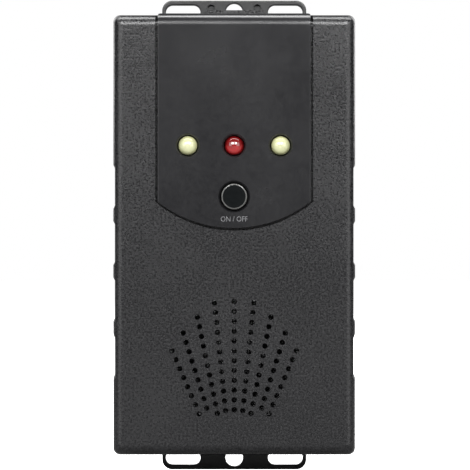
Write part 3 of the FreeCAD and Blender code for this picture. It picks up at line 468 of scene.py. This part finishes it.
clear_rings = [
    (0.0, (0.44, 0.44, 0.27)),
    (0.50, (0.42, 0.43, 0.25)),
    (0.79, (0.34, 0.34, 0.18)),
    (0.87, (0.03, 0.024, 0.01)),
]
red_rings = [
    (0.0, (0.29, 0.012, 0.013)),
    (0.6, (0.30, 0.012, 0.013)),
    (0.8, (0.17, 0.005, 0.006)),
    (0.87, (0.03, 0.001, 0.001)),
]
lamp_flange_reach = 0.0004
lamp_flange_depth = 0.001
lamp_round = 0.00015
lens_start = 84
# The last two tones are painted light: the top of each lens painted darker, the bottom painted lighter.
clear_epoxy = lens_epoxy("clear_epoxy", clear_rings, (0.88, 0.88, 0.88), (1.0, 1.0, 1.0))
red_epoxy = lens_epoxy("red_epoxy", red_rings, (0.36, 0.30, 0.30), (1.0, 1.0, 1.0))
for node, name, epoxy in (
    ("led_white_left", "lamp_left", clear_epoxy),
    ("led_red_centre", "lamp_middle", red_epoxy),
    ("led_white_right", "lamp_right", clear_epoxy),
):
    low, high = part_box(node)
    flange_radius = (high.x - low.x) / 2
    lamp_radius = flange_radius - lamp_flange_reach
    flange_front = high.y - lamp_flange_depth
    outline = [(0, low.y)] + arc(lamp_radius, 0, low.y + lamp_radius, lens_start, 0, 12)
    outline += [(lamp_radius, flange_front)]
    outline += arc(lamp_round, flange_radius - lamp_round, flange_front + lamp_round, 90, 0, 3)
    outline += [(flange_radius, high.y), (0, high.y)]
    centre = ((low.x + high.x) / 2, (low.z + high.z) / 2)
    fit(lathed(name, centre, outline), node, epoxy)

# ---- Lamp legs and spacers ---------------------------------------------------------------------------
# The lamps' legs are tinned steel, soldered behind the board. Turned nylon spacers hold the lamps upright.

tinned = finish(
    "tinned_steel", (0.52, 0.52, 0.53), (0.66, 0.66, 0.66), (0.22, 0.34), 2600, 0.00001, 0.3, Metallic=1.0
)
nylon = finish("nylon", (0.55, 0.54, 0.50), (0.66, 0.65, 0.61), (0.42, 0.5), 1800, 0.00001, 0.3)
carry("led_leads", "lamp_legs", tinned)
carry("led_spacers", "lamp_spacers", nylon)

# ---- ON / OFF button ---------------------------------------------------------------------------------
# A gloss-black ABS cap with a flange inside the panel that rests on the switch's plunger and keeps the cap in.
# # A pale grey ring round the cap's rim is a painted highlight: the light reflected by the rounded rim.

button_low, button_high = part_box("on_off_button")
button_centre = ((button_low.x + button_high.x) / 2, (button_low.z + button_high.z) / 2)
button_flange_radius = (button_high.x - button_low.x) / 2
button_flange = 0.0005
button_flange_reach = 0.0011
button_flange_front = button_high.y - button_flange
cap_radius = button_flange_radius - button_flange_reach
cap_round = 0.0003
cap_outline = [(0, button_low.y)]
cap_outline += arc(cap_round, cap_radius - cap_round, button_low.y + cap_round, 90, 0, 6)
cap_outline += [(cap_radius, button_flange_front), (button_flange_radius, button_flange_front)]
cap_outline += [(button_flange_radius, button_high.y), (0, button_high.y)]
rim_reach = cap_radius / button_flange_radius
gloss_abs = finish(
    "gloss_abs", (0.0022, 0.0028, 0.003), (0.0035, 0.0042, 0.0045), (0.12, 0.17), 900, 0.000004, 0.15
)
gloss_tree = gloss_abs.node_tree
gloss_shader = gloss_tree.nodes["Principled BSDF"]
body_tone = gloss_shader.inputs["Base Color"].links[0].from_socket
# Painted highlight: a pale grey ring round the rim of the cap stands in for the light the rounded rim
# reflects.
painted_highlight_grey = (0.085, 0.085, 0.082)
clear_of_painted_highlight, in_painted_highlight = (0, 0, 0), (1, 1, 1)
painted_highlight_ring = ramped(
    gloss_tree,
    attribute(gloss_tree, "reach"),
    [(rim_reach - 0.09, clear_of_painted_highlight), (rim_reach - 0.045, in_painted_highlight), (rim_reach, in_painted_highlight), (rim_reach + 0.01, clear_of_painted_highlight)],
)
cap_tone_with_painted_highlight = blended(gloss_tree, painted_highlight_ring, body_tone, painted_highlight_grey)
gloss_tree.links.new(cap_tone_with_painted_highlight, gloss_shader.inputs["Base Color"])
fit(lathed("on_off_cap", button_centre, cap_outline, 64), "on_off_button", gloss_abs)

# ---- ON / OFF label ----------------------------------------------------------------------------------
# Pad-printed in thin grey ink on the panel, just below the button.

label_width, label_height, label_thickness = 0.0067, 0.00128, 0.00002
label_drop = 0.0056
label_sunk = 0.4
panel_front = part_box("control_panel")[0].y
writing = bpy.data.curves.new("label", "FONT")
writing.body = "ON / OFF"
writing.align_x = "CENTER"
writing.extrude = 0.01
writing.offset = -0.012
writing.resolution_u = 4
drawn = link_new(writing, "label")
bpy.context.view_layer.update()
letters = bpy.data.meshes.new_from_object(drawn.evaluated_get(bpy.context.evaluated_depsgraph_get()))
bpy.data.objects.remove(drawn)
spans = [[point.co[axis] for point in letters.vertices] for axis in range(3)]
label_size = (label_width, label_height, label_thickness)
scale = [wanted / (max(span) - min(span)) for wanted, span in zip(label_size, spans)]
middle = Vector([(max(span) + min(span)) / 2 for span in spans])
letters.transform(Matrix.Diagonal((*scale, 1)) @ Matrix.Translation(-middle))
letters.transform(Matrix.Rotation(math.radians(90), 4, "X"))
label_back = panel_front - label_thickness * label_sunk
label_place = (button_centre[0], label_back, button_centre[1] - label_drop)
letters.transform(Matrix.Translation(label_place))
label = link_new(letters, "on_off_label")
label_ink = finish("label_ink", (0.085, 0.085, 0.09), (0.14, 0.14, 0.145), (0.5, 0.6), 2400, 0.000004, 0.2)
letters.materials.clear()
letters.materials.append(label_ink)
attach(label, nodes["control_panel"]["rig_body"])

# ---- Push switch -------------------------------------------------------------------------------------
# A latching switch soldered to the board: a black phenolic body and a pale acetal plunger on a spring.

phenolic = finish("phenolic", (0.020, 0.018, 0.017), (0.034, 0.031, 0.029), (0.4, 0.5), 1600, 0.00002, 0.4)
acetal = finish("acetal", (0.62, 0.60, 0.54), (0.70, 0.68, 0.63), (0.33, 0.42), 1400, 0.00001, 0.25)
carry("push_switch", "switch_body", phenolic)
carry("switch_plunger", "switch_stem", acetal)

# ---- AA cells ----------------------------------------------------------------------------------------
# Four plain AA cells: a nickel-plated can in a shrunk sleeve, dark with one band at the end with the nub.

cell_neck = 0.0007
cell_rim = 0.0006
cell_rim_bevel = cell_rim * 0.3
cell_dish = 0.0002
nub_radius = 0.0026
nub_height = 0.0012
nub_round = 0.0003
nub_foot = nub_radius * 1.25
can_metal = (0.62, 0.60, 0.56)
sleeve_dark = (0.018, 0.020, 0.026)
sleeve_band = (0.35, 0.16, 0.035)
sleeve_start, band_start, sleeve_end = 0.018, 0.74, 0.962
sleeve, sleeve_tree, sleeve_shader = new_material("cell_sleeve")
sleeve_shader.inputs["Coat Weight"].default_value = 0.6
sleeve_shader.inputs["Coat Roughness"].default_value = 0.12
bands = ramped(
    sleeve_tree,
    attribute(sleeve_tree, "along"),
    [(0.0, can_metal), (sleeve_start, sleeve_dark), (band_start, sleeve_band), (sleeve_end, can_metal)],
)
bands.node.color_ramp.interpolation = "CONSTANT"
print_tone = between(sleeve_tree, noise(sleeve_tree, 1400, 3.0, 0.6), 0.85, 1.0)
sleeve_tree.links.new(multiplied(sleeve_tree, bands, print_tone), sleeve_shader.inputs["Base Color"])
is_metal = ramped(
    sleeve_tree,
    attribute(sleeve_tree, "along"),
    [(0.0, (1, 1, 1)), (sleeve_start, (0, 0, 0)), (sleeve_end, (1, 1, 1))],
)
is_metal.node.color_ramp.interpolation = "CONSTANT"
sleeve_tree.links.new(is_metal, sleeve_shader.inputs["Metallic"])
sleeve_gloss = between(sleeve_tree, noise(sleeve_tree, 500, 3.0, 0.6), 0.24, 0.36)
sleeve_tree.links.new(sleeve_gloss, sleeve_shader.inputs["Roughness"])
bumped(sleeve_tree, sleeve_shader, noise(sleeve_tree, 220, 2.0, 0.5), 0.00004, 0.3)

for node, name, nub_up in (
    ("cell_lower_left", "cell_1", True), ("cell_upper_left", "cell_2", True),
    ("cell_lower_right", "cell_3", False), ("cell_upper_right", "cell_4", False),
):
    low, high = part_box(node)
    cell_radius = (high.x - low.x) / 2
    length = high.z - low.z
    can = length - nub_height
    rim_radius = cell_radius - cell_rim
    bevel_radius = cell_radius - cell_rim_bevel
    profile = [(0, cell_dish), (cell_radius * 0.78, cell_dish), (cell_radius * 0.82, 0), (rim_radius, 0)]
    profile += [(bevel_radius, cell_rim_bevel), (cell_radius, cell_rim)]
    profile += [(cell_radius, can - cell_rim), (bevel_radius, can - cell_rim_bevel), (rim_radius, can)]
    profile += [(cell_radius * 0.8, can), (cell_radius * 0.78, can - cell_neck), (nub_foot, can - cell_neck)]
    profile += [(nub_radius, can - cell_neck * 0.5), (nub_radius, length - nub_round)]
    profile += [(nub_radius - nub_round, length), (0, length)]
    cell = lathed(name, (0, 0), profile)
    along = cell.data.attributes.new("along", "FLOAT", "POINT")
    for place, point in enumerate(cell.data.vertices):
        along.data[place].value = point.co.y / length
    # The profile was turned about the depth axis from 0 up: lay it along the height, nub up or down.
    turn = Matrix.Rotation(math.radians(90 if nub_up else -90), 4, "X")
    base = low.z if nub_up else high.z
    spot = Matrix.Translation(((low.x + high.x) / 2, (low.y + high.y) / 2, base))
    cell.data.transform(spot @ turn)
    fit(cell, node, sleeve)

# ---- Battery contacts --------------------------------------------------------------------------------
# Nickel-plated steel: three stamped plates, and two coil springs, each wound from one wire and pressed
# against a cell's flat end.

nickel = finish(
    "nickel_plate", (0.56, 0.54, 0.50), (0.68, 0.66, 0.62), (0.2, 0.32), 2200, 0.00001, 0.3, Metallic=1.0
)
carry("contact_plates", "battery_plates", nickel)


def new_tree(name, sockets):
    """A geometry node tree whose named inputs are (kind, value) and whose output is its geometry."""
    tree = bpy.data.node_groups.new(name, "GeometryNodeTree")
    tree.interface.new_socket("Geometry", in_out="INPUT", socket_type="NodeSocketGeometry")
    tree.interface.new_socket("Geometry", in_out="OUTPUT", socket_type="NodeSocketGeometry")
    for label, (kind, _) in sockets.items():
        tree.interface.new_socket(label, in_out="INPUT", socket_type="NodeSocket" + kind)
    return tree, tree.nodes.new("NodeGroupInput"), tree.nodes.new("NodeGroupOutput")


def baked(made):
    """Turn an object's modifiers into plain mesh."""
    bpy.context.view_layer.update()
    graph = bpy.context.evaluated_depsgraph_get()
    mesh = bpy.data.meshes.new_from_object(made.evaluated_get(graph))
    made.modifiers.clear()
    made.data = mesh
    mesh.name = made.name
    return made


def grown(name, tree, sockets):
    """Run a geometry node tree on a new object with its inputs set, and keep the plain mesh."""
    made = link_new(bpy.data.meshes.new(name), name)
    modifier = made.modifiers.new("shape", "NODES")
    modifier.node_group = tree
    for item in tree.interface.items_tree:
        if item.in_out == "INPUT" and item.name in sockets:
            modifier[item.identifier] = sockets[item.name][1]
    return baked(made)


def out_through(tree, leave, geometry, material):
    """End a tree: turn instances into real mesh and give it its material."""
    real = tree.nodes.new("GeometryNodeRealizeInstances")
    paint = tree.nodes.new("GeometryNodeSetMaterial")
    paint.inputs["Material"].default_value = material
    tree.links.new(geometry, real.inputs["Geometry"])
    tree.links.new(real.outputs["Geometry"], paint.inputs["Geometry"])
    tree.links.new(paint.outputs["Geometry"], leave.inputs["Geometry"])


spring_low, spring_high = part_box("spring_contacts")
cell_low, cell_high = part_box("cell_lower_left")
wire_radius = 0.00035
spring_length = 0.0032
column = (cell_high.x + cell_low.x) / 2
spring_sockets = {
    "Radius": ("Float", spring_high.x + column - wire_radius),
    "Height": ("Float", spring_length - 2 * wire_radius),
    "Wire": ("Float", wire_radius),
    "Turns": ("Float", 3.0),
}
spring_tree, enter, leave = new_tree("wound_spring", spring_sockets)
spiral = spring_tree.nodes.new("GeometryNodeCurveSpiral")
spiral.inputs["Resolution"].default_value = 28
for label, socket in (
    ("Radius", "Start Radius"), ("Radius", "End Radius"), ("Height", "Height"), ("Turns", "Rotations")
):
    spring_tree.links.new(enter.outputs[label], spiral.inputs[socket])
section = spring_tree.nodes.new("GeometryNodeCurvePrimitiveCircle")
section.inputs["Resolution"].default_value = 8
spring_tree.links.new(enter.outputs["Wire"], section.inputs["Radius"])
tube = spring_tree.nodes.new("GeometryNodeCurveToMesh")
tube.inputs["Fill Caps"].default_value = True
spring_tree.links.new(spiral.outputs["Curve"], tube.inputs["Curve"])
spring_tree.links.new(section.outputs["Curve"], tube.inputs["Profile Curve"])
out_through(spring_tree, leave, tube.outputs["Mesh"], nickel)
springs = grown("battery_springs", spring_tree, spring_sockets)
pair = bmesh.new()
for side, base in ((1, spring_low.z), (-1, spring_high.z - spring_length)):
    one = springs.data.copy()
    cell_axis = (cell_low.y + cell_high.y) / 2
    one.transform(Matrix.Translation((side * column, cell_axis, base + wire_radius)))
    pair.from_mesh(one)
    bpy.data.meshes.remove(one)
pair.to_mesh(springs.data)
pair.free()
springs.data.shade_smooth()
fit(springs, "spring_contacts", nickel)

# ---- Circuit board -----------------------------------------------------------------------------------
# Glass-fibre laminate under an uneven coat of green solder mask, held in the front half by small screws.

laminate = finish(
    "laminate", (0.010, 0.052, 0.022), (0.016, 0.090, 0.036), (0.28, 0.36), 260, 0.00003, 0.5, patch=120.0
)
carry("main_board", "circuit_board", laminate)

# ---- Parts on the board ------------------------------------------------------------------------------
# A ferrite drum wound with enamelled copper, an aluminium capacitor in a sleeve, and moulded chips.

ferrite = finish("ferrite", (0.018, 0.018, 0.019), (0.045, 0.044, 0.043), (0.5, 0.62), 2600, 0.00003, 0.5)
copper = finish(
    "enamelled_copper", (0.50, 0.17, 0.07), (0.66, 0.27, 0.12), (0.18, 0.28), 1500, 0.00001, 0.3,
    Metallic=1.0, Coat_Weight=0.7
)
can_sleeve = finish(
    "capacitor_sleeve", (0.008, 0.012, 0.040), (0.014, 0.020, 0.060), (0.24, 0.32), 1200, 0.00001, 0.3
)
chip_resin = finish("chip_resin", (0.016, 0.016, 0.016), (0.03, 0.03, 0.03), (0.5, 0.6), 3600, 0.00002, 0.4)
chip_ceramic = finish("chip_ceramic", (0.3, 0.27, 0.22), (0.46, 0.42, 0.35), (0.4, 0.5), 3000, 0.00001, 0.3)
carry("coil_core", "coil_drum", ferrite)
carry("smoothing_capacitor", "capacitor_can", can_sleeve)
carry("controller_chip", "controller", chip_resin)
carry("drive_transistors", "transistors", chip_resin)
carry("surface_mount_parts", "resistors", chip_ceramic)

coil_low, coil_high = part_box("coil_winding")
turn_sockets = {
    "Radius": ("Float", (coil_high.x - coil_low.x) / 2),
    "Depth": ("Float", coil_high.y - coil_low.y),
    "Turns": ("Int", 11),
}
turns_tree, enter, leave = new_tree("drum_winding", turn_sockets)
pitch = reckon(turns_tree, "DIVIDE", enter.outputs["Depth"], enter.outputs["Turns"])
half = reckon(turns_tree, "MULTIPLY", pitch, 0.5)
ring = turns_tree.nodes.new("GeometryNodeCurvePrimitiveCircle")
ring.inputs["Resolution"].default_value = 36
turns_tree.links.new(reckon(turns_tree, "SUBTRACT", enter.outputs["Radius"], half), ring.inputs["Radius"])
strand = turns_tree.nodes.new("GeometryNodeCurvePrimitiveCircle")
strand.inputs["Resolution"].default_value = 8
turns_tree.links.new(half, strand.inputs["Radius"])
loop = turns_tree.nodes.new("GeometryNodeCurveToMesh")
turns_tree.links.new(ring.outputs["Curve"], loop.inputs["Curve"])
turns_tree.links.new(strand.outputs["Curve"], loop.inputs["Profile Curve"])
line = turns_tree.nodes.new("GeometryNodeMeshLine")
step = turns_tree.nodes.new("ShaderNodeCombineXYZ")
start = turns_tree.nodes.new("ShaderNodeCombineXYZ")
turns_tree.links.new(pitch, step.inputs["Z"])
turns_tree.links.new(half, start.inputs["Z"])
turns_tree.links.new(enter.outputs["Turns"], line.inputs["Count"])
turns_tree.links.new(step.outputs[0], line.inputs["Offset"])
turns_tree.links.new(start.outputs[0], line.inputs["Start Location"])
spread = turns_tree.nodes.new("GeometryNodeInstanceOnPoints")
turns_tree.links.new(line.outputs["Mesh"], spread.inputs["Points"])
turns_tree.links.new(loop.outputs["Mesh"], spread.inputs["Instance"])
out_through(turns_tree, leave, spread.outputs["Instances"], copper)
winding = grown("coil_turns", turns_tree, turn_sockets)
winding.data.transform(Matrix.Translation(
    ((coil_low.x + coil_high.x) / 2, coil_high.y, (coil_low.z + coil_high.z) / 2)
) @ Matrix.Rotation(math.radians(90), 4, "X"))
winding.data.shade_smooth()
fit(winding, "coil_winding", copper)

# ---- Dust mesh ---------------------------------------------------------------------------------------
# Black polyester strands laid both ways across the sound holes, held between the front wall and the speaker.

mesh_low, mesh_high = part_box("grille_mesh")
mesh_reach = 0.985
strand_end_angle = math.radians(70)
mesh_sockets = {
    "Radius": ("Float", (mesh_high.x - mesh_low.x) / 2),
    "Strand": ("Float", (mesh_high.y - mesh_low.y) / 4),
    "Count": ("Int", 56),
}
weave_tree, enter, leave = new_tree("laid_mesh", mesh_sockets)
rows = weave_tree.nodes.new("GeometryNodeMeshLine")
rows.mode = "END_POINTS"
row_start = weave_tree.nodes.new("ShaderNodeCombineXYZ")
row_end = weave_tree.nodes.new("ShaderNodeCombineXYZ")
inset = reckon(weave_tree, "MULTIPLY", enter.outputs["Radius"], mesh_reach)
weave_tree.links.new(reckon(weave_tree, "MULTIPLY", inset, -1.0), row_start.inputs["X"])
weave_tree.links.new(inset, row_end.inputs["X"])
weave_tree.links.new(enter.outputs["Count"], rows.inputs["Count"])
weave_tree.links.new(row_start.outputs[0], rows.inputs["Start Location"])
weave_tree.links.new(row_end.outputs[0], rows.inputs["Offset"])
where = weave_tree.nodes.new("GeometryNodeInputPosition")
apart = weave_tree.nodes.new("ShaderNodeSeparateXYZ")
weave_tree.links.new(where.outputs[0], apart.inputs[0])
across = reckon(weave_tree, "DIVIDE", apart.outputs["X"], enter.outputs["Radius"])
square = reckon(weave_tree, "SUBTRACT", 1.0, reckon(weave_tree, "MULTIPLY", across, across))
chord = reckon(weave_tree, "MULTIPLY", reckon(weave_tree, "SQRT", square, 0.0), enter.outputs["Radius"])
strand_tube = weave_tree.nodes.new("GeometryNodeMeshCylinder")
strand_tube.inputs["Vertices"].default_value = 6
strand_tube.inputs["Depth"].default_value = 2.0
weave_tree.links.new(enter.outputs["Strand"], strand_tube.inputs["Radius"])
stretch = weave_tree.nodes.new("ShaderNodeCombineXYZ")
stretch.inputs["X"].default_value = 1.0
stretch.inputs["Y"].default_value = 1.0
weave_tree.links.new(chord, stretch.inputs["Z"])
laid = weave_tree.nodes.new("GeometryNodeInstanceOnPoints")
weave_tree.links.new(rows.outputs["Mesh"], laid.inputs["Points"])
weave_tree.links.new(strand_tube.outputs["Mesh"], laid.inputs["Instance"])
weave_tree.links.new(stretch.outputs[0], laid.inputs["Scale"])
crossed = weave_tree.nodes.new("GeometryNodeTransform")
crossed.inputs["Rotation"].default_value = (0, math.radians(90), 0)
lift = weave_tree.nodes.new("ShaderNodeCombineXYZ")
weave_tree.links.new(reckon(weave_tree, "MULTIPLY", enter.outputs["Strand"], 2.0), lift.inputs["Y"])
weave_tree.links.new(lift.outputs[0], crossed.inputs["Translation"])
weave_tree.links.new(laid.outputs["Instances"], crossed.inputs["Geometry"])
both = weave_tree.nodes.new("GeometryNodeJoinGeometry")
weave_tree.links.new(laid.outputs["Instances"], both.inputs["Geometry"])
weave_tree.links.new(crossed.outputs["Geometry"], both.inputs["Geometry"])
polyester = finish("polyester", (0.004, 0.004, 0.004), (0.010, 0.010, 0.010), (0.5, 0.6), 3000, 0.00001, 0.3)
out_through(weave_tree, leave, both.outputs["Geometry"], polyester)
weave = grown("dust_mesh", weave_tree, mesh_sockets)
weave.data.transform(Matrix.Translation((
    (mesh_low.x + mesh_high.x) / 2,
    mesh_low.y + mesh_sockets["Strand"][1],
    (mesh_low.z + mesh_high.z) / 2,
)))
weave.data.shade_smooth()
weave.data.set_sharp_from_angle(angle=strand_end_angle)
fit(weave, "grille_mesh", polyester)

# ---- Speaker -----------------------------------------------------------------------------------------
# A piezo disc bonded to a spun aluminium cone in a moulded ring, clamped from behind by a flat retainer.

speaker_abs = finish(
    "speaker_abs", (0.020, 0.020, 0.021), (0.032, 0.032, 0.033), (0.4, 0.5), 1700, 0.00002, 0.4
)
aluminium = finish(
    "spun_aluminium", (0.62, 0.62, 0.63), (0.74, 0.74, 0.75), (0.25, 0.38), 1300, 0.00002, 0.3, Metallic=1.0
)
piezo = finish("piezo_ceramic", (0.50, 0.46, 0.36), (0.62, 0.58, 0.48), (0.35, 0.45), 2000, 0.00001, 0.3)
carry("speaker_housing", "speaker_ring", speaker_abs)
carry("speaker_retainer", "speaker_clamp", speaker_abs)
carry("speaker_cone", "speaker_dish", aluminium)
carry("piezo_element", "piezo_disc", piezo)

# ---- Wires -------------------------------------------------------------------------------------------
# Stranded wire in soft PVC: red and black from the cells to the board, a black pair to the speaker.

red_pvc = finish("red_pvc", (0.36, 0.010, 0.008), (0.46, 0.018, 0.012), (0.34, 0.44), 1800, 0.00001, 0.3)
black_pvc = finish("black_pvc", (0.01, 0.01, 0.01), (0.02, 0.02, 0.02), (0.34, 0.44), 1800, 0.00001, 0.3)
carry("battery_wire_red", "battery_lead_red", red_pvc)
carry("battery_wire_black", "battery_lead_black", black_pvc)
carry("speaker_wires", "speaker_pair", black_pvc)

# ---- Screws ------------------------------------------------------------------------------------------
# Zinc-plated steel cross-head screws: four long ones join the case, small ones hold the board and speaker.

zinc = finish(
    "zinc_plate", (0.50, 0.51, 0.53), (0.64, 0.65, 0.66), (0.26, 0.4), 1500, 0.00001, 0.3, patch=300.0,
    Metallic=1.0
)
for node, name in (
    ("case_screws", "long_screws"), ("board_screws", "board_fixings"), ("retainer_screws", "clamp_fixings")
):
    carry(node, name, zinc)
